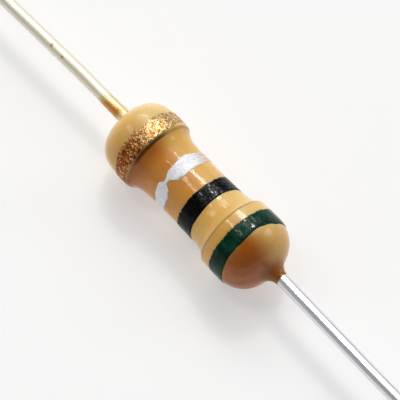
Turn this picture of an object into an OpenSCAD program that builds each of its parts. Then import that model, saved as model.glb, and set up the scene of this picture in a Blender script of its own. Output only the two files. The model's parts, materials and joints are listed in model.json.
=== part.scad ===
// Axial film resistor: a coated ceramic rod with a pressed cap and a wire lead at each end.
// Millimetres. The origin is at the middle of the rod, +X runs along the leads towards the
// tolerance band, and +Z is up when the body lies on a table.

/* [Ceramic rod and film] */
// Diameter of the ceramic rod
core_d = 1.66; // [1.4:0.02:2.2]
// Length of the ceramic rod
core_l = 5.4; // [4.5:0.1:7]
// Bevel on the edges of the rod's ends
core_bevel = 0.3; // [0.2:0.02:0.4]
// Thickness of the carbon film
film_t = 0.02; // [0.01:0.005:0.05]
// Width of the spiral cut that trims the film
trim_w = 0.12; // [0.06:0.02:0.2]
// Distance between neighbouring turns of the spiral cut
trim_pitch = 0.55; // [0.4:0.05:0.7]
// Turns of the spiral cut
trim_turns = 2; // [1:0.5:3]

/* [End caps] */
// Wall of the pressed steel caps
cap_wall = 0.2; // [0.12:0.02:0.3]
// Length of cap over the rod, from its end to the cap's rim
cap_skirt = 1.1; // [0.9:0.05:1.6]
// Radius of the bend between a cap's skirt and its end, on the outside
cap_round = 0.5; // [0.4:0.02:0.6]

/* [Leads] */
// Diameter of the wire leads
lead_d = 0.4; // [0.3:0.02:0.6]
// Length of each lead, from its cap to its tip
lead_l = 28.3; // [14:0.1:36]
// Width of the weld bead between lead and cap
bead_d = 0.64; // [0.6:0.02:0.9]
// Height of the weld bead
bead_h = 0.1; // [0.04:0.02:0.12]
// How far the left lead is welded off the middle of its cap
left_off = 0.06; // [0.02:0.01:0.15]
// Angle at which the left lead leans back to the middle
left_lean = 0.9; // [0.8:0.1:3]
// How far the right lead is welded off the middle of its cap
right_off = 0.12; // [0.02:0.01:0.15]
// Angle at which the right lead leans back to the middle
right_lean = 1.5; // [0.8:0.1:3]
// Length of the right lead that runs straight out before it leans
right_stub = 1.8; // [1.6:0.1:3]
// Length of the left lead that runs straight out before it leans
left_stub = 0.6; // [0.6:0.1:3]

/* [Lacquer] */
// Lacquer over the film between the caps
coat_waist = 0.125; // [0.08:0.005:0.15]
// Lacquer over the skirts of the caps
coat_cap = 0.14; // [0.1:0.01:0.2]
// Lacquer over the left cap's end
coat_left = 0.22; // [0.18:0.01:0.4]
// Lacquer over the right cap's end
coat_right = 0.22; // [0.18:0.01:0.4]
// Radius of the left shoulder
shoulder_left = 0.8; // [0.5:0.05:0.8]
// Radius of the right shoulder
shoulder_right = 0.82; // [0.5:0.02:0.86]
// Radius that rounds the lacquer over a cap's rim
rim_round = 0.13; // [0.05:0.01:0.2]
// Radius of the lacquer that fills in at the foot of the rim
rim_fill = 0.37; // [0.2:0.01:0.45]
// Radius of the lacquer drawn out along the left lead
neck_left = 0.36; // [0.1:0.02:0.4]
// Radius of the lacquer drawn out along the right lead
neck_right = 0.1; // [0.06:0.02:0.3]
// Thickness of the lacquer skin that clings to the leads
sleeve_t = 0.02; // [0.01:0.005:0.04]
// Length of that skin beyond the left neck
sleeve_left = 0.16; // [0.02:0.02:0.2]
// Length of that skin beyond the right neck
sleeve_right = 0.8; // [0.1:0.05:1.1]

/* [Colour bands] */
// Thickness of the painted bands
band_t = 0.015; // [0.01:0.005:0.03]
// Width of the green band, the first figure
green_w = 0.54; // [0.3:0.02:0.6]
// Distance from the left cap's rim to the green band
green_gap = 0.34; // [0.2:0.02:0.46]
// Width of the black band, the second figure
black_w = 0.58; // [0.3:0.02:0.6]
// Distance from the middle of the body to the black band
black_at = 0.31; // [0.1:0.01:0.4]
// Width of the silver band, the multiplier
silver_w = 0.38; // [0.2:0.02:0.4]
// Distance from the middle of the body to the silver band
silver_at = 0.33; // [0.1:0.01:0.4]
// Width of what is left of the silver band where it is nearly missing
silver_neck = 0.08; // [0.04:0.01:0.15]
// Place of that neck round the body, in degrees from the top towards +Y
silver_neck_at = 45; // [0:5:90]
// Width of the gold band, the tolerance
gold_w = 0.5; // [0.3:0.02:0.56]
// Distance from the right cap's rim to the gold band
gold_gap = 0; // [0:0.02:0.2]

/* [Hidden] */
$fn = 72;
film_r = core_d / 2 + film_t;
film_l = core_l - 2 * core_bevel;
cap_r = film_r + cap_wall;
rim_x = core_l / 2 - cap_skirt;
face_x = core_l / 2 + cap_wall;
waist_r = film_r + coat_waist;
bulge_r = cap_r + coat_cap;
lead_r = lead_d / 2;
sleeve_r = lead_r + sleeve_t;
left_end = face_x + coat_left;
right_end = face_x + coat_right;
// The lacquer climbs from the waist to the bulge on two arcs that meet at this angle
rim_angle = acos(1 - (bulge_r - waist_r) / (rim_round + rim_fill));
rim_run = (rim_round + rim_fill) * sin(rim_angle);
// The climb ends just past the cap's rim
climb_top = rim_x + 0.02;
// Straight cuts that make one turn of the spiral
trim_steps = 24;
// A leaning stretch of wire is thinner by this, and this much longer at both ends, so that
// its ends lie inside the straight stretches
lean_ease = 0.005;
lean_overlap = 0.05;

// Points of an arc about (x, r), where x is along the body and r is out from its axis
function arc(x, r, radius, from, to, steps = 8, first = 0) =
    [for (k = [first:steps])
        let (a = from + (to - from) * k / steps) [x + radius * cos(a), r + radius * sin(a)]];

// Half of the lacquer's outline, from the middle of the waist to the middle of the end face
function half_outline(end, shoulder) =
    concat([[0, 0], [0, waist_r]],
           arc(climb_top - rim_run, waist_r + rim_fill, rim_fill, -90, -90 + rim_angle),
           arc(climb_top, bulge_r - rim_round, rim_round, 90 + rim_angle, 90, 5, 1),
           arc(end - shoulder, bulge_r - shoulder, shoulder, 90, 0, 14),
           [[end, 0]]);

// Turns a shape that stands on +Z so that it runs along +X
module along_x() { rotate([0, 90, 0]) children(); }

// Revolves a flat shape about X: its x is the distance along the body, its y the distance out
module revolve() { along_x() rotate_extrude() mirror([1, -1, 0]) children(); }

// A solid of revolution about X, from points given as [along, out from the axis]
module revolve_x(points) { revolve() polygon(points); }

// A rod of radius r about X, from x = a to x = b
module rod(r, a, b) { translate([a, 0, 0]) along_x() cylinder(r = r, h = b - a); }

// The bevelled bead that welds a lead to its cap
module bead(off) {
    translate([face_x, -off, 0]) along_x() cylinder(r1 = bead_d / 2, r2 = lead_r, h = bead_h);
}

// A wire welded off the middle of its cap, which leans back to the middle and then runs straight
module lead(off, stub, lean, end) {
    stub_end = end + stub;
    back_x = stub_end + off / tan(lean);
    lean_l = off / sin(lean);
    bead(off);
    translate([0, -off, 0]) rod(lead_r, face_x, stub_end);
    translate([stub_end, -off, 0]) rotate([0, 0, lean])
        rod(lead_r - lean_ease, -lean_overlap, lean_l + lean_overlap);
    rod(lead_r, back_x, face_x + lead_l);
}

// The outside of a pressed cap on the rod's +X end, as a solid
module cap_outside() {
    revolve_x(concat([[rim_x, 0], [rim_x, cap_r]],
                     arc(face_x - cap_round, cap_r - cap_round, cap_round, 90, 0),
                     [[face_x, 0]]));
}

// A pressed cap, its open rim towards the middle
module cap() {
    inner_round = cap_round - cap_wall;
    difference() {
        cap_outside();
        revolve_x(concat([[rim_x - 1, 0], [rim_x - 1, film_r]],
                         arc(core_l / 2 - inner_round, film_r - inner_round, inner_round, 90, 0),
                         [[core_l / 2, 0]]));
    }
}

// Lacquer drawn out along a lead on the +X side: a hollow fillet and a thin skin
module neck(off, end, radius, length) {
    translate([0, -off, 0])
        revolve_x(concat([[end - 0.05, 0], [end - 0.05, sleeve_r + radius]],
                         arc(end + radius, sleeve_r + radius, radius, 180, 270, 7),
                         [[end + radius + length, sleeve_r], [end + radius + length, 0]]));
}

// Half of the lacquer on the +X side, hollow where the rod, cap, bead and wire are
module coat_half(off, end, shoulder, neck_radius, sleeve) {
    difference() {
        union() {
            revolve_x(half_outline(end, shoulder));
            neck(off, end, neck_radius, sleeve);
        }
        rod(film_r, -1, rim_x + 0.1);
        cap_outside();
        bead(off);
        translate([0, -off, 0]) rod(lead_r, face_x - 0.1, end + neck_radius + sleeve + 1);
    }
}

// A band of paint that follows half of the lacquer's outline, from x = a to x = b
module band(end, shoulder, a, b) {
    outline = half_outline(end, shoulder);
    revolve() intersection() {
        translate([a, 0]) square([b - a, bulge_r + 1]);
        difference() {
            polygon(concat([[0, 0]], [for (p = outline) if (p[1] > 0) p + [0, band_t]], [[end, 0]]));
            polygon(outline);
        }
    }
}

module left_band(a, b) { mirror([1, 0, 0]) band(left_end, shoulder_left, a, b); }

module right_band(a, b) { band(right_end, shoulder_right, a, b); }

module ceramic_core() {
    color("ghostwhite")
        revolve_x([[-core_l / 2, 0], [-core_l / 2, core_d / 2 - core_bevel], [-film_l / 2, core_d / 2],
                   [film_l / 2, core_d / 2], [core_l / 2, core_d / 2 - core_bevel], [core_l / 2, 0]]);
}

module resistive_film() {
    steps = trim_turns * trim_steps;
    cut_l = 2 * PI * film_r / trim_steps * 1.1;
    color("dimgray") difference() {
        rod(film_r, -film_l / 2, film_l / 2);
        rod(core_d / 2, -film_l, film_l);
        for (k = [0:steps])
            rotate([360 * k / trim_steps, 0, 0])
                translate([trim_pitch * (k / trim_steps - trim_turns / 2), 0, film_r])
                    cube([trim_w, cut_l, 4 * film_t], center = true);
    }
}

module left_end_cap() { color("silver") mirror([1, 0, 0]) cap(); }

module right_end_cap() { color("silver") cap(); }

module left_lead() {
    color("lightgray") mirror([1, 0, 0]) lead(left_off, left_stub, left_lean, left_end);
}

module right_lead() { color("lightgray") lead(right_off, right_stub, right_lean, right_end); }

module lacquer_coat() {
    color("tan") {
        coat_half(right_off, right_end, shoulder_right, neck_right, sleeve_right);
        mirror([1, 0, 0]) coat_half(left_off, left_end, shoulder_left, neck_left, sleeve_left);
    }
}

module green_band() {
    start = rim_x + green_gap;
    color("darkgreen") left_band(start, start + green_w);
}

module black_band() { color("black") left_band(black_at, black_at + black_w); }

// The silver band is nearly missing at one place: two round bites leave a thin neck
module silver_band() {
    middle = silver_at + silver_w / 2;
    color("gainsboro") difference() {
        right_band(silver_at, silver_at + silver_w);
        rotate([-silver_neck_at, 0, 0])
            for (side = [-1, 1])
                translate([middle + side * (silver_w + silver_neck) / 2, 0, 0])
                    cylinder(d = silver_w, h = 2 * bulge_r);
    }
}

module gold_band() {
    start = climb_top + gold_gap;
    color("goldenrod") right_band(start, start + gold_w);
}

ceramic_core();
resistive_film();
left_end_cap();
right_end_cap();
left_lead();
right_lead();
lacquer_coat();
green_band();
black_band();
silver_band();
gold_band();
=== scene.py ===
"""The looks of a small axial film resistor, built round its packed construction model."""

import json
import math

import bmesh
import bpy
from bpy.props import FloatProperty, FloatVectorProperty, PointerProperty
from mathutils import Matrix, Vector, noise


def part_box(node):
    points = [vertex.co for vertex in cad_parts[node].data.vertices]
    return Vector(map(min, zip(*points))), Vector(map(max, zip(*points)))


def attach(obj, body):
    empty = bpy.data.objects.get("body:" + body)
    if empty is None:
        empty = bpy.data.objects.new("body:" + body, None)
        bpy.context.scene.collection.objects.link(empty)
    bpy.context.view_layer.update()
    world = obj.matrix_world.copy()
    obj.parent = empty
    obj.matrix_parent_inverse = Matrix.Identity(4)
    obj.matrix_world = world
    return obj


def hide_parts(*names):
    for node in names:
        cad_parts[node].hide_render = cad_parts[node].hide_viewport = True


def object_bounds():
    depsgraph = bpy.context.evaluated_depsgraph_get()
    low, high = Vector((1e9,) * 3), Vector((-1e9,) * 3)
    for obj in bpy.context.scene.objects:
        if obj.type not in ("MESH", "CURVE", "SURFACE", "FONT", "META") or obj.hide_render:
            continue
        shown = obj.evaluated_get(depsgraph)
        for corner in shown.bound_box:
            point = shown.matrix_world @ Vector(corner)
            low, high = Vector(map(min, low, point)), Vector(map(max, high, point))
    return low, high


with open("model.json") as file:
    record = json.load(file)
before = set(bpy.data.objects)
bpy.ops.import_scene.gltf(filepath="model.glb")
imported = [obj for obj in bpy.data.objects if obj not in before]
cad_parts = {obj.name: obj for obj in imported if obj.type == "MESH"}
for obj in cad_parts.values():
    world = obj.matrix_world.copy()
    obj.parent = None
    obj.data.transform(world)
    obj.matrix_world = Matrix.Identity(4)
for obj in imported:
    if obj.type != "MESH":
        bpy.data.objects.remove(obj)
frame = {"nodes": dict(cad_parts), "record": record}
CAD_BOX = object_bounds()

bl_info = {
    "name": "Axial resistor",
    "version": (1, 0, 0),
    "blender": (4, 5, 0),
    "location": "View3D > Sidebar > Resistor",
    "description": "A lacquered film resistor with painted bands and wire leads",
    "category": "Add Mesh",
}

MM = 0.001
BODY = "root"
COAT_SEGMENTS = 144
BAND_SEGMENTS = 1200
BAND_ROWS = 12
LEAD_SEGMENTS = 48
LEAD_RINGS = 420


def corner(node, which, axis):
    """One coordinate of a construction node's box, in metres; which is 0 for low, 1 for high."""
    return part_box(node)[which][axis]


def pin(name):
    """A lead's mount from the record."""
    return next(m for m in frame["record"]["mounts"] if m["name"] == name)


def mm(value):
    """Millimetres as metres."""
    return value * MM


# ---------------------------------------------------------------- settings

BAND_LIFT = corner("gold_band", 1, 2) - corner("lacquer_coat", 1, 2)
# The black band's edge lies this far up the slope beside the waist
BAND_CLIMB = mm(0.024)


class ResistorShape(bpy.types.PropertyGroup):
    """Sizes of the body and the leads."""

    bulge_radius: FloatProperty(
        name="Bulge radius",
        description="Radius of the lacquer over the end caps",
        default=corner("lacquer_coat", 1, 2),
        unit="LENGTH",
    )
    waist_radius: FloatProperty(
        name="Waist radius",
        description="Radius of the lacquer between the end caps",
        default=corner("black_band", 1, 2) - BAND_LIFT - BAND_CLIMB,
        unit="LENGTH",
    )
    rim: FloatProperty(
        name="Cap rim",
        description="Distance from the middle of the body to the rim of an end cap",
        default=corner("right_end_cap", 0, 0),
        unit="LENGTH",
    )
    end: FloatProperty(
        name="Body end",
        description="Distance from the middle of the body to the end of the lacquered dome",
        default=corner("right_end_cap", 1, 0) + mm(0.22),
        unit="LENGTH",
    )
    slope: FloatProperty(
        name="Rim slope",
        description="Length over which the lacquer runs from a cap's rim down to the waist",
        default=mm(0.24),
        unit="LENGTH",
    )
    ripple: FloatProperty(
        name="Lacquer ripple",
        description="Height of the slow unevenness in the dipped lacquer",
        default=mm(0.007),
        unit="LENGTH",
    )
    lead_radius: FloatProperty(
        name="Lead radius",
        description="Radius of the wire leads",
        default=mm(pin("left_lead")["dims"]["r_mm"]),
        unit="LENGTH",
    )
    band_lift: FloatProperty(
        name="Paint thickness",
        description="How far the painted bands stand out of the lacquer",
        default=BAND_LIFT,
        unit="LENGTH",
    )


class ResistorColours(bpy.types.PropertyGroup):
    """Main colours of the finishes."""

    lacquer: FloatVectorProperty(
        name="Lacquer",
        description="Colour of the dipped lacquer where it is thick",
        default=(0.67, 0.27, 0.048),
        size=3,
        subtype="COLOR",
        min=0,
        max=1,
    )
    green: FloatVectorProperty(
        name="Green paint",
        description="Colour of the green band",
        default=(0.0008, 0.02, 0.009),
        size=3,
        subtype="COLOR",
        min=0,
        max=1,
    )
    black: FloatVectorProperty(
        name="Black paint",
        description="Colour of the black band",
        default=(0.0008, 0.0006, 0.0012),
        size=3,
        subtype="COLOR",
        min=0,
        max=1,
    )
    silver: FloatVectorProperty(
        name="Silver paint",
        description="Colour of the silver band",
        default=(0.97, 0.97, 1.0),
        size=3,
        subtype="COLOR",
        min=0,
        max=1,
    )
    gold: FloatVectorProperty(
        name="Gold paint",
        description="Colour of the gold flakes",
        default=(0.84, 0.63, 0.32),
        size=3,
        subtype="COLOR",
        min=0,
        max=1,
    )
    wire: FloatVectorProperty(
        name="Wire",
        description="Colour of the tinned wire",
        default=(0.84, 0.83, 0.82),
        size=3,
        subtype="COLOR",
        min=0,
        max=1,
    )


class ResistorStage(bpy.types.PropertyGroup):
    """The camera and the lights."""

    lens: FloatProperty(
        name="Lens",
        description="Focal length of the camera, in millimetres",
        default=414,
    )
    azimuth: FloatProperty(
        name="Camera azimuth",
        description="Direction of the camera round the body",
        default=math.radians(229),
        subtype="ANGLE",
    )
    elevation: FloatProperty(
        name="Camera elevation",
        description="Height of the camera above the horizon",
        default=math.radians(62),
        subtype="ANGLE",
    )
    key_power: FloatProperty(
        name="Key light",
        description="Power of the key light, in watts",
        default=0.28,
    )
    fill_power: FloatProperty(
        name="Fill light",
        description="Power of the small second light, in watts",
        default=0.12,
    )
    sky: FloatProperty(
        name="Sky",
        description="Brightness of the soft surroundings",
        default=0.82,
    )


def shape():
    return bpy.context.scene.resistor_shape


def colours():
    return bpy.context.scene.resistor_colours


# ---------------------------------------------------------------- shaders


class Val:
    """A node's number output that works in Python sums; each sum adds a Math node."""

    def __init__(self, surface, socket):
        self.surface = surface
        self.socket = socket

    def _sum(self, operation, a, b):
        return self.surface.math(operation, a, b)

    def __add__(self, other):
        return self._sum("ADD", self, other)

    def __radd__(self, other):
        return self._sum("ADD", other, self)

    def __sub__(self, other):
        return self._sum("SUBTRACT", self, other)

    def __rsub__(self, other):
        return self._sum("SUBTRACT", other, self)

    def __mul__(self, other):
        return self._sum("MULTIPLY", self, other)

    def __rmul__(self, other):
        return self._sum("MULTIPLY", other, self)


class Surface:
    """A material, or the surroundings, under construction."""

    def __init__(self, tree, output):
        self.tree = tree
        self.tree.nodes.clear()
        self.output = tree.nodes.new(output)

    def add(self, kind, settings=None, inputs=None):
        """Adds a node, sets it up, and fills its sockets with values or links."""
        node = self.tree.nodes.new(kind)
        for key, value in (settings or {}).items():
            if key == "stops":
                set_stops(node.color_ramp, value)
            else:
                setattr(node, key, value)
        for key, value in (inputs or {}).items():
            self.fill(node.inputs[key], value)
        return node

    def fill(self, socket, value):
        """Links a socket to an output, or sets its value."""
        if isinstance(value, Val):
            value = value.socket
        if isinstance(value, bpy.types.NodeSocket):
            self.tree.links.new(value, socket)
        else:
            socket.default_value = value

    def math(self, operation, a, b=0.0):
        """A Math node's number."""
        node = self.add("ShaderNodeMath", {"operation": operation}, {0: a, 1: b})
        return Val(self, node.outputs[0])

    def vector(self, operation, a, b=None, scale=None):
        """A Vector Math node's number or vector."""
        inputs = {0: a}
        if b is not None:
            inputs[1] = b
        if scale is not None:
            inputs["Scale"] = scale
        node = self.add("ShaderNodeVectorMath", {"operation": operation}, inputs)
        if operation in ("DOT_PRODUCT", "DISTANCE"):
            return Val(self, node.outputs["Value"])
        return node.outputs["Vector"]

    def place(self, stretch=(1, 1, 1)):
        """The point on the piece in millimetres, stretched along the axes."""
        source = self.add("ShaderNodeTexCoord").outputs["Object"]
        return self.vector("MULTIPLY", source, tuple(1000 * s for s in stretch))

    def axes(self, vector):
        """The three numbers of a vector."""
        node = self.add("ShaderNodeSeparateXYZ", None, {0: vector})
        return [Val(self, out) for out in node.outputs]

    def noise(self, vector, scale, detail=2.0, roughness=0.5):
        """Smooth noise from 0 to 1; scale is its bumps per millimetre."""
        node = self.add(
            "ShaderNodeTexNoise",
            None,
            {"Vector": vector, "Scale": scale, "Detail": detail, "Roughness": roughness},
        )
        return Val(self, node.outputs[0])

    def cells(self, vector, scale):
        """A cell pattern: outputs Distance from a cell's middle, and a Color per cell."""
        return self.add("ShaderNodeTexVoronoi", None, {"Vector": vector, "Scale": scale}).outputs

    def ramp(self, stops, value):
        """A colour read off a list of (position, colour) stops."""
        return self.add("ShaderNodeValToRGB", {"stops": stops}, {0: value}).outputs[0]

    def step(self, value, low, high):
        """0 below low, 1 above high and smooth between them; falls where low is above high."""
        settings = {"interpolation_type": "SMOOTHSTEP"}
        sockets = {"Value": value, "From Min": low, "From Max": high}
        if low > high:
            sockets = {"Value": value, "From Min": high, "From Max": low}
            sockets.update({"To Min": 1.0, "To Max": 0.0})
        return Val(self, self.add("ShaderNodeMapRange", settings, sockets).outputs[0])

    def blend(self, factor, a, b):
        """A colour between a and b."""
        sockets = {0: factor, 6: opaque(a), 7: opaque(b)}
        return self.add("ShaderNodeMix", {"data_type": "RGBA"}, sockets).outputs[2]

    def bump(self, height, distance):
        """A normal from a height from 0 to 1; distance is the relief in millimetres."""
        sockets = {"Height": height, "Distance": mm(distance)}
        return self.add("ShaderNodeBump", None, sockets).outputs[0]

    def finish(self, shader):
        """Ends the tree with a shader."""
        self.tree.links.new(shader.outputs[0], self.output.inputs["Surface"])


def opaque(colour):
    """A colour with its alpha, or a link as it is."""
    if isinstance(colour, (Val, bpy.types.NodeSocket)):
        return colour
    return (*tuple(colour)[:3], 1.0)


def set_stops(ramp, stops):
    """Sets a ramp's stops from a list of (position, colour)."""
    while len(ramp.elements) > 1:
        ramp.elements.remove(ramp.elements[-1])
    ramp.elements[0].position = stops[0][0]
    ramp.elements[0].color = opaque(stops[0][1])
    for position, colour in stops[1:]:
        ramp.elements.new(position).color = opaque(colour)


def new_surface(name):
    """A material and the surface that fills its nodes."""
    material = bpy.data.materials.new(name)
    material.use_nodes = True
    return material, Surface(material.node_tree, "ShaderNodeOutputMaterial")


def principled(surface, sockets):
    """Ends a material with one Principled shader."""
    sockets = {key: opaque(v) if key == "Base Color" else v for key, v in sockets.items()}
    surface.finish(surface.add("ShaderNodeBsdfPrincipled", None, sockets))


# Tones of the lacquer from the left end of the dip to the right, as shares of its length: the
# lit-side tones for its -Y side, towards the key light, and the shaded-side tones, painted shade,
# for its +Y side; both darken as painted shade over the left dome and just inside the right cap's
# rim
DIP_LEFT, DIP_LENGTH = -3.2, 6.4
LIT_SIDE_TONES = [
    (0.0, (0.68, 0.38, 0.10)),
    (0.10, (0.74, 0.47, 0.15)),
    (0.21, (0.84, 0.56, 0.21)),
    (0.33, (0.84, 0.55, 0.19)),
    (0.46, (0.80, 0.48, 0.14)),
    (0.62, (0.80, 0.47, 0.13)),
    (0.735, (0.74, 0.42, 0.10)),
    (0.77, (0.74, 0.50, 0.17)),
    (0.86, (0.84, 0.61, 0.25)),
    (1.0, (0.88, 0.68, 0.32)),
]
SHADED_SIDE_TONES = [
    (0.0, (0.42, 0.11, 0.012)),
    (0.10, (0.42, 0.12, 0.012)),
    (0.16, (0.56, 0.27, 0.05)),
    (0.21, (0.80, 0.46, 0.12)),
    (0.33, (0.84, 0.50, 0.13)),
    (0.44, (0.78, 0.34, 0.05)),
    (0.52, (0.70, 0.32, 0.06)),
    (0.735, (0.50, 0.14, 0.014)),
    (0.77, (0.60, 0.33, 0.08)),
    (0.86, (0.75, 0.43, 0.11)),
    (1.0, (0.90, 0.66, 0.27)),
]
# The dip is thickest here; the shaded-side tones take the lacquer's own colour at this share of its
# length
THICKEST = 0.66


def lacquer_body(s, x, y, cloud):
    """The lacquer's colour: it lies in different thickness along the body, and is painted paler on
    its lit -Y side and darker in painted shade on its +Y side.
    """
    thick = (THICKEST, tuple(colours().lacquer))
    along = (x - DIP_LEFT + (cloud - 0.5) * 0.4) * (1 / DIP_LENGTH)
    lit_side_colour = s.ramp(LIT_SIDE_TONES, along)
    shaded_side_colour = s.ramp(sorted([*SHADED_SIDE_TONES, thick]), along)
    # Painted shade: the colour turns from the lit-side tones on -Y to the shaded-side tones on +Y,
    # away from the key light
    run = s.step(y + (cloud - 0.5) * 0.5, -0.40, 0.35)
    colour = s.blend(run, lit_side_colour, shaded_side_colour)
    return s.blend(s.step(cloud, 0.50, 0.80) * 0.20, colour, (0.85, 0.60, 0.28))


def lacquer_ends(s, colour, axes, sleeve, cloud):
    """Darker brown round the necks as painted shade, where the domes narrow onto the wires, then
    only a film over bright wire.
    """
    x, y, z = axes
    out = s.math("SQRT", y * y + z * z)
    # Painted shade: darker brown round the necks
    neck = s.step(out, 0.66, 0.26) * s.step(s.math("ABSOLUTE", x), 2.9, 3.2)
    colour = s.blend(neck * 0.8, colour, (0.30, 0.10, 0.015))
    # The right film is amber on its +Y side and pale elsewhere; the left one is all brown
    edge = (x - 3.3) * 0.25
    brown = s.step(y - edge, -0.22, -0.08) * s.step(x, 3.22, 3.42) * s.step(x, 4.25, 3.85)
    brown = s.math("MAXIMUM", brown + (cloud - 0.5) * 0.5, s.step(x, 0.0, -0.1))
    amber = s.blend(s.step(x, -0.1, 0.1), (0.40, 0.13, 0.015), (0.66, 0.30, 0.05))
    film = s.blend(brown, (0.86, 0.72, 0.40), amber)
    return s.blend(sleeve, colour, film)


def lacquer_rims(s, colour, place, x, y):
    """Painted shade in the groove at the right cap's rim beside the gold band, deepest on the +Y
    side, and a faint dark line round the left cap's rim.
    """
    wobble = (s.noise(place, 2.2, 2.0) - 0.5) * 0.03
    # Painted shade in the groove beside the gold band, weighted towards +Y, away from the key light
    rim_shade = s.step(s.math("ABSOLUTE", x + wobble - 1.57), 0.065, 0.02)
    rim_shade = rim_shade * (0.35 + s.step(s.math("ABSOLUTE", y - 0.35), 0.75, 0.35) * 0.65)
    colour = s.blend(rim_shade * 0.9, colour, (0.05, 0.03, 0.002))
    line = s.step(s.math("ABSOLUTE", x + wobble + 1.6), 0.055, 0.01)
    return s.blend(line * 0.6, colour, (0.18, 0.14, 0.05))


def lacquer_specks(s, colour, place):
    """Small specks and pores in the lacquer."""
    specks = s.step(s.cells(place, 5.5)["Distance"], 0.10, 0.05)
    specks = specks * s.step(s.noise(place, 3.1, 1.0), 0.55, 0.62)
    return s.blend(specks * 0.5, colour, (0.36, 0.10, 0.012))


def lacquer_finish():
    """Dipped tan lacquer: glossy and slightly clear."""
    material, s = new_surface("tan_lacquer")
    place = s.place()
    x, y, z = s.axes(place)
    cloud = s.noise(s.place((0.6, 1, 1)), 1.1, 3.0, 0.6)
    sleeve = s.math("MAXIMUM", s.step(x, 3.08, 3.16), s.step(x, -3.54, -3.62))
    colour = lacquer_body(s, x, y, cloud)
    colour = lacquer_ends(s, colour, (x, y, z), sleeve, cloud)
    colour = lacquer_rims(s, colour, place, x, y)
    colour = lacquer_specks(s, colour, place)
    peel = s.noise(place, 2.6, 2.0, 0.5)
    grain = s.noise(place, 9.0, 2.0, 0.5)
    fine = s.noise(place, 26.0, 2.0, 0.5)
    normal = s.bump(peel + grain * 0.24 + fine * 0.05, 0.019)
    principled(
        s,
        {
            "Base Color": colour,
            "Metallic": sleeve * 0.4,
            "Roughness": 0.12 + (fine - 0.5) * 0.06 + sleeve * 0.16,
            "Subsurface Weight": 0.5,
            "Subsurface Radius": (1.0, 0.4, 0.12),
            "Subsurface Scale": mm(0.25),
            "Specular IOR Level": 0.36,
            "IOR": 1.5,
            "Normal": normal,
        },
    )
    return material


def paint_finish(name, colour, glint):
    """Thin glossy paint with a fine uneven skin that breaks up its highlights."""
    material, s = new_surface(name)
    place = s.place()
    fine = s.noise(place, 11.0, 2.0, 0.6)
    broad = s.noise(s.place((0.6, 1, 1)), 4.0, 3.0, 0.6)
    tone = s.blend(s.step(broad + (fine - 0.5) * 0.5, 0.35, 0.75), colour, glint)
    normal = s.bump(fine * 0.6 + broad * 0.8, 0.024)
    # The paint is glossier, in small patches, where it lies thickest
    y = s.axes(place)[1]
    thick = 0.1 + s.step(y, 0.40, 0.0) * s.step(y, -0.75, -0.45) * 0.9
    gloss = s.step(s.noise(s.place((0.8, 1, 1)), 12.0, 2.0, 0.6), 0.55, 0.59) * thick
    principled(
        s,
        {
            "Base Color": tone,
            "Roughness": 0.12 + (fine - 0.5) * 0.15,
            "Specular IOR Level": 0.09,
            "Coat Weight": gloss,
            "Coat Roughness": 0.05,
            "Normal": normal,
        },
    )
    return material


def silver_finish():
    """Thin silver paint, worn at one side so that the lacquer shows through faintly."""
    material, s = new_surface("silver_paint")
    place = s.place()
    fine = s.noise(place, 22.0, 3.0, 0.6)
    streak = s.noise(s.place((8, 3, 3)), 1.6, 3.0, 0.6)
    tone = s.blend(s.step(fine, 0.52, 0.66), tuple(colours().silver), (0.60, 0.60, 0.68))
    y, z = s.axes(place)[1:]
    angle = s.math("ARCTAN2", y, z)
    worn = s.step(angle, -0.35, -0.95) * s.step(angle, -1.75, -1.3)
    cover = 1.0 - worn * (0.35 + s.step(streak, 0.4, 0.6) * 0.45)
    principled(
        s,
        {
            "Base Color": tone,
            "Metallic": 0.12,
            "Roughness": 0.32,
            "Alpha": cover,
            "Normal": s.bump(fine * 0.7 + streak * 0.4, 0.03),
        },
    )
    return material


def gold_finish():
    """Coarse gold flakes, each with its own tilt and tone, thinning out towards the edges; pale as
    painted highlight on the -Y side and dark brown as painted shade on the +Y side.
    """
    material, s = new_surface("gold_paint")
    x, y = s.axes(s.place())[:2]
    tint = s.cells(s.place((0.75, 1, 1)), 29.0)["Color"]
    tone_share, cover_share = s.axes(tint)[:2]
    gold = tuple(colours().gold)
    # Flake tones for the -Y side, their pale stops a painted highlight where the key light falls
    bright = [
        (0.0, (0.34, 0.12, 0.015)),
        (0.45, (0.54, 0.27, 0.06)),
        (0.78, gold),
        (1.0, (0.96, 0.85, 0.60)),
    ]
    # Flake tones for the +Y side, darker as painted shade
    brown = [
        (0.0, (0.17, 0.032, 0.003)),
        (0.55, (0.31, 0.08, 0.008)),
        (0.85, (0.58, 0.24, 0.045)),
        (1.0, gold),
    ]
    lit_flake_tone = s.ramp(bright, tone_share)
    shaded_flake_tone = s.ramp(brown, tone_share)
    # Painted light: the flakes turn from the lit tones on -Y to the shaded tones on +Y
    tone = s.blend(s.step(y, -0.1, 0.75), lit_flake_tone, shaded_flake_tone)
    lean = s.vector("SCALE", s.vector("SUBTRACT", tint, (0.5, 0.5, 0.5)), scale=0.42)
    facing = s.add("ShaderNodeNewGeometry").outputs["Normal"]
    normal = s.vector("NORMALIZE", s.vector("ADD", facing, lean))
    low = corner("gold_band", 0, 0) / MM
    high = corner("gold_band", 1, 0) / MM
    inside = s.step(x, low - 0.05, low + 0.05) * s.step(x, high + 0.15, high - 0.22)
    cover = s.step(inside * 1.35 - cover_share * 0.65, 0.05, 0.12)
    principled(
        s,
        {
            "Base Color": tone,
            "Metallic": 0.6,
            "Roughness": 0.42,
            "Specular IOR Level": 0.15,
            "Alpha": cover,
            "Normal": normal,
        },
    )
    return material


# Stains on the right wire: distance along it, angle from the top and radius, in mm and radians
STAINS = ((6.31, 0.52, 0.07), (5.82, 0.66, 0.05))


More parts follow.
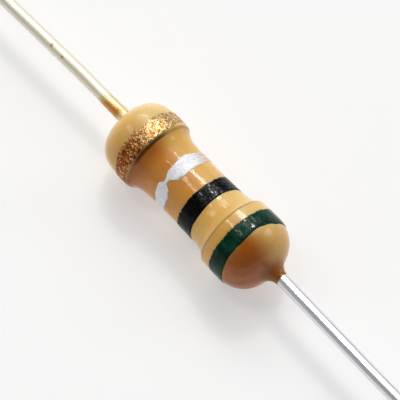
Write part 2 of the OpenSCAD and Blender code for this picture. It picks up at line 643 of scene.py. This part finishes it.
def wire_finish(name, side, tone, metal):
    """Frosted drawn wire with fine lines along it; the right one has two stains."""
    material, s = new_surface(name)
    place = s.place()
    x = s.axes(place)[0]
    lines = s.noise(s.place((0.25, 9, 9)), 2.6, 3.0, 0.6)
    grime = s.noise(s.place((0.8, 1, 1)), 1.5, 3.0, 0.6)
    near = s.step(x * side, 14.0, 4.0)
    tone = s.blend(near + (grime - 0.5) * 0.4, tuple(colours().wire), tone)
    tone = s.blend(s.step(lines, 0.55, 0.75) * 0.25, tone, (0.50, 0.48, 0.46))
    if side > 0:
        radius = shape().lead_radius / MM
        for along, turn, size in STAINS:
            centre = (along, radius * math.sin(turn) - 0.1, radius * math.cos(turn))
            far = s.vector("DISTANCE", place, centre)
            drop = s.step(far + (grime - 0.5) * 0.06, size, size * 0.5)
            tone = s.blend(drop * 0.7, tone, (0.46, 0.24, 0.07))
    principled(
        s,
        {
            "Base Color": tone,
            "Metallic": metal,
            "Roughness": (0.31 if side > 0 else 0.17) + grime * 0.14,
            "Normal": s.bump(lines * 0.8 + grime * 0.2, 0.004),
        },
    )
    return material


def ceramic_finish():
    """Unglazed white ceramic."""
    material, s = new_surface("ceramic")
    place = s.place()
    grain = s.noise(place, 18.0, 3.0, 0.6)
    tone = s.blend(s.step(grain, 0.35, 0.7), (0.86, 0.85, 0.81), (0.74, 0.72, 0.67))
    principled(
        s,
        {
            "Base Color": tone,
            "Roughness": 0.62 + (grain - 0.5) * 0.2,
            "Normal": s.bump(grain, 0.006),
        },
    )
    return material


def film_finish():
    """Dull grey carbon film."""
    material, s = new_surface("carbon_film")
    place = s.place()
    grain = s.noise(place, 30.0, 3.0, 0.6)
    tone = s.blend(s.step(grain, 0.35, 0.7), (0.035, 0.035, 0.037), (0.075, 0.075, 0.08))
    principled(
        s,
        {
            "Base Color": tone,
            "Roughness": 0.48 + (grain - 0.5) * 0.2,
            "Normal": s.bump(grain, 0.003),
        },
    )
    return material


def cap_finish():
    """Pressed steel with faint drawing marks along the skirt."""
    material, s = new_surface("cap_steel")
    marks = s.noise(s.place((0.5, 6, 6)), 2.0, 3.0, 0.6)
    tone = s.blend(s.step(marks, 0.35, 0.7), (0.66, 0.65, 0.63), (0.50, 0.49, 0.47))
    principled(
        s,
        {
            "Base Color": tone,
            "Metallic": 1.0,
            "Roughness": 0.30 + (marks - 0.5) * 0.2,
            "Normal": s.bump(marks, 0.004),
        },
    )
    return material


# ---------------------------------------------------------------- shapes


def smooth(value, low, high):
    """0 below low, 1 above high and smooth between them."""
    t = min(max((value - low) / (high - low), 0.0), 1.0)
    return t * t * (3 - 2 * t)


def soft_min(a, b, k):
    """The smaller of a and b, rounded over k where they meet."""
    h = max(k - abs(a - b), 0.0) / k
    return min(a, b) - h * h * k / 4


def around(x, angle, radius):
    """The point at that distance along the body and that angle from the top towards +Y."""
    return Vector((x, radius * math.sin(angle), radius * math.cos(angle)))


def dome(side):
    """Where a dome starts and ends, in metres from the middle, and its two powers."""
    if side > 0:
        return mm(1.82), shape().end - mm(0.05), 3.7, 2.75
    return mm(2.36), shape().end + mm(0.13), 1.8, 2.9


def body_radius(x):
    """Radius of the lacquer's mean outline, from the waist to well up the dome."""
    p = shape()
    away = abs(x)
    start, end, along, across = dome(1 if x > 0 else -1)
    climb = p.waist_radius + (p.bulge_radius - p.waist_radius) * math.exp((away - p.rim) / p.slope)
    radius = soft_min(p.bulge_radius, climb, mm(0.03))
    if away > start:
        t = min((away - start) / (end - start), 1.0)
        radius *= (1 - t**along) ** (1 / across)
    return radius


def ripple(x, angle):
    """Slow unevenness of the lacquer, as a share of its radius."""
    p = shape()
    point = around(x, angle, p.bulge_radius) / mm(0.9)
    return 1 + p.ripple / p.bulge_radius * noise.noise(point + Vector((7.3, 1.1, 4.2)))


def coat_radius(x, angle):
    """Radius of the lacquer's real surface on the body."""
    return body_radius(x) * ripple(x, angle)


def lead_offset(side):
    """How far the lead's weld sits off the body's axis, along Y."""
    node = "right_lead" if side > 0 else "left_lead"
    return (corner(node, 0, 1) + corner(node, 1, 1)) / 2


def lead_tip(side):
    """Distance from the middle of the body to the tip of a lead."""
    return abs(corner("right_lead", 1, 0) if side > 0 else corner("left_lead", 0, 0))


def lead_centre(side, away):
    """The wire's centre at that distance from the middle: off the axis, then back to it."""
    p = shape()
    stub_end = p.end + (mm(1.8) if side > 0 else mm(0.6))
    back = lead_tip(side) - mm(pin("right_lead" if side > 0 else "left_lead")["dims"]["length_mm"])
    share = min(max((away - stub_end) / (back - stub_end), 0.0), 1.0)
    ease = mm(0.5) / (back - stub_end)
    share = soft_min(share, 1.0, ease) if share > 0.5 else 1 - soft_min(1 - share, 1.0, ease)
    return Vector((side * away, lead_offset(side) * (1 - share), 0))


def skin(name, rows, material):
    """A closed piece over rows of points, each row once round; its two ends are filled."""
    mesh = bmesh.new()
    rings = [[mesh.verts.new(point) for point in row] for row in rows]
    count = len(rings[0])
    for a, b in zip(rings, rings[1:]):
        for k in range(count):
            n = (k + 1) % count
            mesh.faces.new((a[k], a[n], b[n], b[k]))
    for ring, row in ((rings[0], rows[0]), (rings[-1], rows[-1])):
        hub = mesh.verts.new(sum(row, Vector()) / count)
        for k in range(count):
            mesh.faces.new((hub, ring[k], ring[(k + 1) % count]))
    return keep(name, mesh, material)


def ring_skin(name, rows, material):
    """A closed ring-shaped piece: rows run round the body, and the last row meets the first."""
    mesh = bmesh.new()
    rings = [[mesh.verts.new(point) for point in row] for row in rows]
    count = len(rings[0])
    for index, a in enumerate(rings):
        b = rings[(index + 1) % len(rings)]
        for k in range(count):
            n = (k + 1) % count
            mesh.faces.new((a[k], a[n], b[n], b[k]))
    return keep(name, mesh, material)


def keep(name, mesh, material):
    """Turns a bmesh into a smooth-shaded object with its faces pointing outwards."""
    bmesh.ops.recalc_face_normals(mesh, faces=mesh.faces)
    data = bpy.data.meshes.new(name)
    mesh.to_mesh(data)
    mesh.free()
    data.shade_smooth()
    data.materials.append(material)
    piece = bpy.data.objects.new(name, data)
    bpy.context.scene.collection.objects.link(piece)
    return piece


def settle(piece, node):
    """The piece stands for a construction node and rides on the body."""
    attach(piece, BODY)
    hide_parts(node)


def curve(a, b, c, d, steps):
    """(away, radius) points on a smooth curve from a to d, pulled towards b and c."""
    out = []
    for k in range(steps):
        t = k / steps
        u = 1 - t
        out.append(
            tuple(
                u**3 * a[i] + 3 * u * u * t * b[i] + 3 * u * t * t * c[i] + t**3 * d[i]
                for i in (0, 1)
            )
        )
    return [*out, d]


def dome_join(side, radius):
    """Distance from the middle at which a dome has shrunk to a radius."""
    start, end, along, across = dome(side)
    share = (1 - (radius / shape().bulge_radius) ** across) ** (1 / along)
    return start + share * (end - start)


def coat_rings(side):
    """(away, radius) from the middle of the waist, over the dome, to the film's tip on a lead."""
    p = shape()
    start, end, along, across = dome(side)
    join = mm(0.34) if side > 0 else mm(0.62)
    # Numbers of rings on the body, over its dome and down to the film on the lead
    body, over, neck = 150, 90, 36
    rings = [(start * k / body, body_radius(side * start * k / body)) for k in range(body)]
    last = math.acos((join / p.bulge_radius) ** (across / 2))
    for k in range(over):
        turn = last * k / over
        away = start + (end - start) * math.sin(turn) ** (2 / along)
        rings.append((away, p.bulge_radius * math.cos(turn) ** (2 / across)))
    a = (dome_join(side, join), join)
    tip = corner("lacquer_coat", 1, 0) if side > 0 else -corner("lacquer_coat", 0, 0)
    film = p.lead_radius + mm(0.016)
    if side > 0:
        b = (a[0] + mm(0.015), join - mm(0.07))
        c = (end + mm(0.02), film + mm(0.01))
        d = (end + mm(0.16), film)
    else:
        b = (a[0] + mm(0.047), join - mm(0.14))
        c = (a[0] + mm(0.157), film + mm(0.055))
        d = (a[0] + mm(0.377), film)
    rings += curve(a, b, c, d, neck)
    thin = p.lead_radius + mm(0.003)
    run = 40 if side > 0 else 10
    for k in range(1, run + 1):
        t = k / run
        rings.append((d[0] + (tip - d[0]) * t, d[1] + (thin - d[1]) * t))
    rings.append((tip + mm(0.01), p.lead_radius * 0.95))
    return rings


def coat_row(side, away, radius):
    """One ring of the lacquer; near the lead the ring is centred on the wire."""
    p = shape()
    shift = lead_centre(side, away).y * smooth(-radius, -p.bulge_radius * 0.75, -mm(0.4))
    slant = mm(0.14 if side > 0 else 0.04) * smooth(away, p.end + mm(0.25), p.end + mm(0.8))
    row = []
    for k in range(COAT_SEGMENTS):
        angle = 2 * math.pi * k / COAT_SEGMENTS
        point = around(side * away, angle, radius * ripple(side * away, angle))
        point.y += shift
        # The film on the leads ends aslant, further out on its +Y side
        point.x += side * slant * math.sin(angle)
        row.append(point)
    return row


def lacquer_rows():
    """Rings of the lacquer from its tip on the left lead to its tip on the right one."""
    left = [coat_row(-1, away, radius) for away, radius in reversed(coat_rings(-1)[1:])]
    right = [coat_row(1, away, radius) for away, radius in coat_rings(1)]
    return left + right


def band_rows(start, stop):
    """Rows of a thin ring of paint; start and stop give its edges at an angle."""
    p = shape()
    rows = []
    edge = mm(0.02)
    sunk = mm(0.006)
    for side_of_paint in (1, -1):
        for j in range(BAND_ROWS + 1)[::side_of_paint]:
            row = []
            for k in range(BAND_SEGMENTS):
                angle = 2 * math.pi * k / BAND_SEGMENTS
                low, high = start(angle), stop(angle)
                x = low + (high - low) * (0.5 - 0.5 * math.cos(math.pi * j / BAND_ROWS))
                inset = min(x - low, high - x)
                lift = -sunk
                if side_of_paint > 0:
                    lift += (p.band_lift + sunk) * math.sqrt(smooth(inset, -mm(0.002), edge))
                row.append(around(x, angle, coat_radius(x, angle) + lift))
            rows.append(row)
    return rows


def ragged(angle, size, pitch, seed):
    """Irregular teeth along a painted edge, from 0 to size; pitch is teeth per turn."""
    point = Vector((math.cos(angle), math.sin(angle), 0)) * pitch / (2 * math.pi)
    rough = noise.noise(point + Vector((seed, 0, seed)))
    slow = noise.noise(point * 0.31 + Vector((0, seed, 3.7)))
    return size * (0.5 + 0.9 * rough + 0.5 * slow)


def outline(points, angle):
    """A value read off a few (degrees, value) points round the body, smooth between them."""
    turn = (math.degrees(angle) + 180) % 360 - 180
    wrapped = points + [(points[0][0] + 360, points[0][1])]
    if turn < wrapped[0][0]:
        turn += 360
    for (a, low), (b, high) in zip(wrapped, wrapped[1:]):
        if a <= turn <= b:
            return low + (high - low) * smooth(turn, a, b)
    return points[0][1]


# ---------------------------------------------------------------- operators


class RESISTOR_OT_coat(bpy.types.Operator):
    """Makes the dipped lacquer body with its drawn-out ends"""

    bl_idname = "resistor.coat"
    bl_label = "Lacquer coat"

    def execute(self, context):
        piece = skin("lacquer", lacquer_rows(), lacquer_finish())
        settle(piece, "lacquer_coat")
        return {"FINISHED"}


class RESISTOR_OT_green_band(bpy.types.Operator):
    """Paints the green band over the left cap"""

    bl_idname = "resistor.green_band"
    bl_label = "Green band"

    def execute(self, context):
        low, high = corner("green_band", 0, 0), corner("green_band", 1, 0)
        far = [(-70, -0.10), (-45, -0.08), (-26, 0.01), (-9, 0.06), (5, 0.035), (19, 0.015)]
        far += [(33, 0.035), (48, 0.04), (65, 0.02), (90, 0.0), (180, -0.02)]
        rows = band_rows(
            lambda a: low + mm(outline(far, a)) + ragged(a, mm(0.006), 60, 2.0),
            lambda a: high + ragged(a, mm(0.045), 190, 5.0) - mm(0.03),
        )
        paint = paint_finish("green_paint", tuple(colours().green), (0.003, 0.055, 0.030))
        piece = ring_skin("green_paint", rows, paint)
        settle(piece, "green_band")
        return {"FINISHED"}


class RESISTOR_OT_black_band(bpy.types.Operator):
    """Paints the black band on the waist"""

    bl_idname = "resistor.black_band"
    bl_label = "Black band"

    def execute(self, context):
        low, high = corner("black_band", 0, 0), corner("black_band", 1, 0)
        far = [(-60, -0.02), (0, 0.03), (20, 0.03), (35, 0.01), (60, 0.01), (90, -0.02), (180, 0.0)]
        near = [(-60, -0.02), (10, -0.02), (25, 0.0), (40, 0.0), (60, 0.0), (90, 0.0), (180, 0.0)]
        rows = band_rows(
            lambda a: low + mm(outline(far, a)) + ragged(a, mm(0.006), 50, 8.0),
            lambda a: high + mm(outline(near, a)) + ragged(a, mm(0.035), 160, 3.0) - mm(0.025),
        )
        paint = paint_finish("black_paint", tuple(colours().black), (0.003, 0.0025, 0.004))
        piece = ring_skin("black_paint", rows, paint)
        settle(piece, "black_band")
        return {"FINISHED"}


class RESISTOR_OT_silver_band(bpy.types.Operator):
    """Paints the uneven silver band, which is nearly missing at one place"""

    bl_idname = "resistor.silver_band"
    bl_label = "Silver band"

    def execute(self, context):
        near = [(-150, 0.33), (-60, 0.36), (-30, 0.29), (-10, 0.28), (12, 0.27), (24, 0.31)]
        near += [(35, 0.50), (42, 0.51), (50, 0.33), (62, 0.23), (85, 0.25), (120, 0.33)]
        far = [(-150, 0.71), (-70, 0.68), (-40, 0.71), (-14, 0.78), (3, 0.75), (25, 0.72)]
        far += [(37, 0.62), (43, 0.61), (50, 0.72), (70, 0.68), (90, 0.62), (120, 0.70)]
        rows = band_rows(
            lambda a: mm(outline(near, a)) + ragged(a, mm(0.02), 110, 11.0) - mm(0.01),
            lambda a: mm(outline(far, a)) + ragged(a, mm(0.02), 110, 14.0) - mm(0.01),
        )
        piece = ring_skin("silver_paint", rows, silver_finish())
        settle(piece, "silver_band")
        return {"FINISHED"}


class RESISTOR_OT_gold_band(bpy.types.Operator):
    """Paints the band of coarse gold flakes over the right cap"""

    bl_idname = "resistor.gold_band"
    bl_label = "Gold band"

    def execute(self, context):
        low, high = corner("gold_band", 0, 0), corner("gold_band", 1, 0)
        near = [(-70, 0.12), (-45, 0.10), (-25, 0.0), (40, 0.0), (65, 0.04), (90, 0.02), (180, 0.0)]
        far = [(-60, 0.04), (0, 0.12), (30, 0.12), (60, 0.04), (85, -0.06), (180, 0.0)]
        rows = band_rows(
            lambda a: low + mm(outline(near, a)) + ragged(a, mm(0.012), 60, 21.0) - mm(0.006),
            lambda a: high + mm(outline(far, a)) + ragged(a, mm(0.05), 190, 24.0) - mm(0.02),
        )
        piece = ring_skin("gold_paint", rows, gold_finish())
        settle(piece, "gold_band")
        return {"FINISHED"}


def lead_rows(side):
    """Rings of a wire from inside the lacquer to its sheared tip."""
    p = shape()
    weld = corner("right_end_cap", 1, 0)
    tip = lead_tip(side)
    bead = mm(0.1)
    rings = []
    for share, radius in ((0.0, mm(0.32)), (0.5, mm(0.26)), (1.0, p.lead_radius)):
        rings.append((weld + bead * share, radius))
    length = tip - weld - bead
    for k in range(1, LEAD_RINGS + 1):
        # The rings lie closer together beside the body
        away = weld + bead + length * (k / LEAD_RINGS) ** 1.6
        edge = tip - away
        radius = p.lead_radius * (1 + 0.012 * noise.noise(Vector((away / mm(0.8), side, 5.1))))
        # The shears leave the tip's edge a little rounded
        radius -= mm(0.05) * (1 - smooth(edge, 0.0, mm(0.06)))
        rings.append((away, radius))
    angles = [2 * math.pi * k / LEAD_SEGMENTS for k in range(LEAD_SEGMENTS)]
    rows = []
    for away, radius in rings:
        centre = lead_centre(side, away)
        rows.append([centre + around(0, angle, radius) for angle in angles])
    return rows


class RESISTOR_OT_leads(bpy.types.Operator):
    """Makes the two wire leads with their weld beads"""

    bl_idname = "resistor.leads"
    bl_label = "Leads"

    def execute(self, context):
        for side, node, tone, metal in (
            (-1, "left_lead", (0.84, 0.85, 0.90), 0.75),
            (1, "right_lead", (0.93, 0.86, 0.67), 0.42),
        ):
            material = wire_finish(node + "_wire", side, tone, metal)
            settle(skin(node + "_wire", lead_rows(side), material), node)
        return {"FINISHED"}


class RESISTOR_OT_inside(bpy.types.Operator):
    """Gives the ceramic rod, its film and the end caps their finishes"""

    bl_idname = "resistor.inside"
    bl_label = "Rod, film and caps"

    def execute(self, context):
        steel = cap_finish()
        finishes = {
            "ceramic_core": ceramic_finish(),
            "resistive_film": film_finish(),
            "left_end_cap": steel,
            "right_end_cap": steel,
        }
        for node, material in finishes.items():
            data = frame["nodes"][node].data
            data.materials.clear()
            data.materials.append(material)
        return {"FINISHED"}


# The lights' distance in metres, and their directions from the body
LIGHT_DISTANCE = 0.4
KEY = (0.354, -0.468, 0.810)
FILL = (0.354, 0.146, 0.924)
KEY_FAR = (0.62, -0.45, 0.64)
FILL_FAR = (0.631, 0.288, 0.719)
SIDE = (-0.26, -0.81, 0.52)
# Width of the view, and how far its middle lies to the right of the body's and above it, in mm
VIEW_WIDTH = 11.32
AIM = (0.127, -0.164)


def direction(azimuth, elevation):
    """Unit vector towards a camera: azimuth 0 looks along +Y."""
    return Vector(
        (
            math.sin(azimuth) * math.cos(elevation),
            -math.cos(azimuth) * math.cos(elevation),
            math.sin(elevation),
        )
    )


def disk_light(name, towards, size, power, colour):
    """A round light in a direction, aimed at the middle of the body."""
    data = bpy.data.lights.new(name, "AREA")
    data.shape = "DISK"
    data.size = size
    data.energy = power
    data.color = colour
    light = bpy.data.objects.new(name, data)
    towards = Vector(towards).normalized()
    light.location = towards * LIGHT_DISTANCE
    light.rotation_mode = "QUATERNION"
    light.rotation_quaternion = towards.to_track_quat("Z", "Y")
    bpy.context.scene.collection.objects.link(light)


class RESISTOR_OT_stage(bpy.types.Operator):
    """Makes the pale floor, the soft light and the camera"""

    bl_idname = "resistor.stage"
    bl_label = "Stage"

    def execute(self, context):
        self.floor()
        self.sky(context.scene)
        stage = context.scene.resistor_stage
        warm, pale = (1.0, 0.98, 0.95), (1.0, 0.99, 0.97)
        disk_light("key", KEY, 0.08, stage.key_power, warm)
        disk_light("fill", FILL, 0.07, stage.fill_power, pale)
        disk_light("key_far", KEY_FAR, 0.13, stage.key_power * 0.6, warm)
        disk_light("fill_far", FILL_FAR, 0.12, stage.fill_power, pale)
        disk_light("side", SIDE, 0.12, stage.fill_power * 0.9, pale)
        self.camera(context.scene)
        context.scene.view_settings.view_transform = "Standard"
        return {"FINISHED"}

    def floor(self):
        mesh = bmesh.new()
        reach, level = 3.0, CAD_BOX[0].z
        points = [(-reach, -reach), (reach, -reach), (reach, reach), (-reach, reach)]
        mesh.faces.new([mesh.verts.new((x, y, level)) for x, y in points])
        material, s = new_surface("floor")
        grain = s.noise(s.place(), 3.0, 3.0, 0.6)
        tone = s.blend(grain, (0.56, 0.56, 0.56), (0.58, 0.58, 0.58))
        principled(
            s,
            {
                "Base Color": tone,
                "Roughness": 0.6,
                "Specular IOR Level": 0.2,
                "Emission Color": (0.44, 0.44, 0.44, 1.0),
                "Emission Strength": 1.0,
            },
        )
        keep("floor", mesh, material)

    def sky(self, scene):
        world = bpy.data.worlds.new("surroundings")
        world.use_nodes = True
        scene.world = world
        s = Surface(world.node_tree, "ShaderNodeOutputWorld")
        look = s.add("ShaderNodeTexCoord").outputs["Generated"]
        facing = direction(scene.resistor_stage.azimuth, scene.resistor_stage.elevation)
        side = s.vector("DOT_PRODUCT", look, tuple(facing))
        window = s.vector("DOT_PRODUCT", look, tuple(Vector(KEY).normalized()))
        # Dark behind the camera, paler all round, with one bright window in the key's direction
        bright = s.step(side, 0.97, 0.5) * 0.38 + s.step(window, 0.84, 0.985) * 2.2 + 0.05
        tint = s.vector("SCALE", (1.0, 1.0, 1.01), scale=bright)
        light = s.add("ShaderNodeBackground", None, {0: tint, 1: scene.resistor_stage.sky})
        s.finish(light)

    def camera(self, scene):
        stage = scene.resistor_stage
        data = bpy.data.cameras.new("camera")
        data.lens = stage.lens
        data.clip_start, data.clip_end = mm(5), 50
        back = direction(stage.azimuth, stage.elevation)
        right = Vector((0, 0, 1)).cross(back).normalized()
        up = back.cross(right)
        aim = right * mm(AIM[0]) + up * mm(AIM[1])
        camera = bpy.data.objects.new("camera", data)
        camera.location = aim + back * (mm(VIEW_WIDTH) * stage.lens / data.sensor_width)
        camera.rotation_mode = "QUATERNION"
        camera.rotation_quaternion = (-back).to_track_quat("-Z", "Y")
        scene.collection.objects.link(camera)
        scene.camera = camera


OPERATORS = (
    RESISTOR_OT_stage,
    RESISTOR_OT_inside,
    RESISTOR_OT_coat,
    RESISTOR_OT_green_band,
    RESISTOR_OT_black_band,
    RESISTOR_OT_silver_band,
    RESISTOR_OT_gold_band,
    RESISTOR_OT_leads,
)


class RESISTOR_PT_panel(bpy.types.Panel):
    """Sidebar panel with the sizes, colours and steps"""

    bl_idname = "RESISTOR_PT_panel"
    bl_label = "Axial resistor"
    bl_space_type = "VIEW_3D"
    bl_region_type = "UI"
    bl_category = "Resistor"

    def draw(self, context):
        layout = self.layout
        for settings in GROUPS:
            group = getattr(context.scene, settings)
            for key in group.bl_rna.properties.keys():
                if key not in ("rna_type", "name"):
                    layout.prop(group, key)
        for operator in OPERATORS:
            layout.operator(operator.bl_idname)


GROUPS = {
    "resistor_shape": ResistorShape,
    "resistor_colours": ResistorColours,
    "resistor_stage": ResistorStage,
}


CLASSES = (*GROUPS.values(), *OPERATORS, RESISTOR_PT_panel)


def register():
    for item in CLASSES:
        bpy.utils.register_class(item)
    for name, group in GROUPS.items():
        setattr(bpy.types.Scene, name, PointerProperty(type=group))


def unregister():
    for name in GROUPS:
        delattr(bpy.types.Scene, name)
    for item in reversed(CLASSES):
        bpy.utils.unregister_class(item)


def main():
    register()
    bpy.ops.resistor.stage()
    bpy.ops.resistor.inside()
    bpy.ops.resistor.coat()
    bpy.ops.resistor.green_band()
    bpy.ops.resistor.black_band()
    bpy.ops.resistor.silver_band()
    bpy.ops.resistor.gold_band()
    bpy.ops.resistor.leads()


if __name__ == "__main__":
    main()
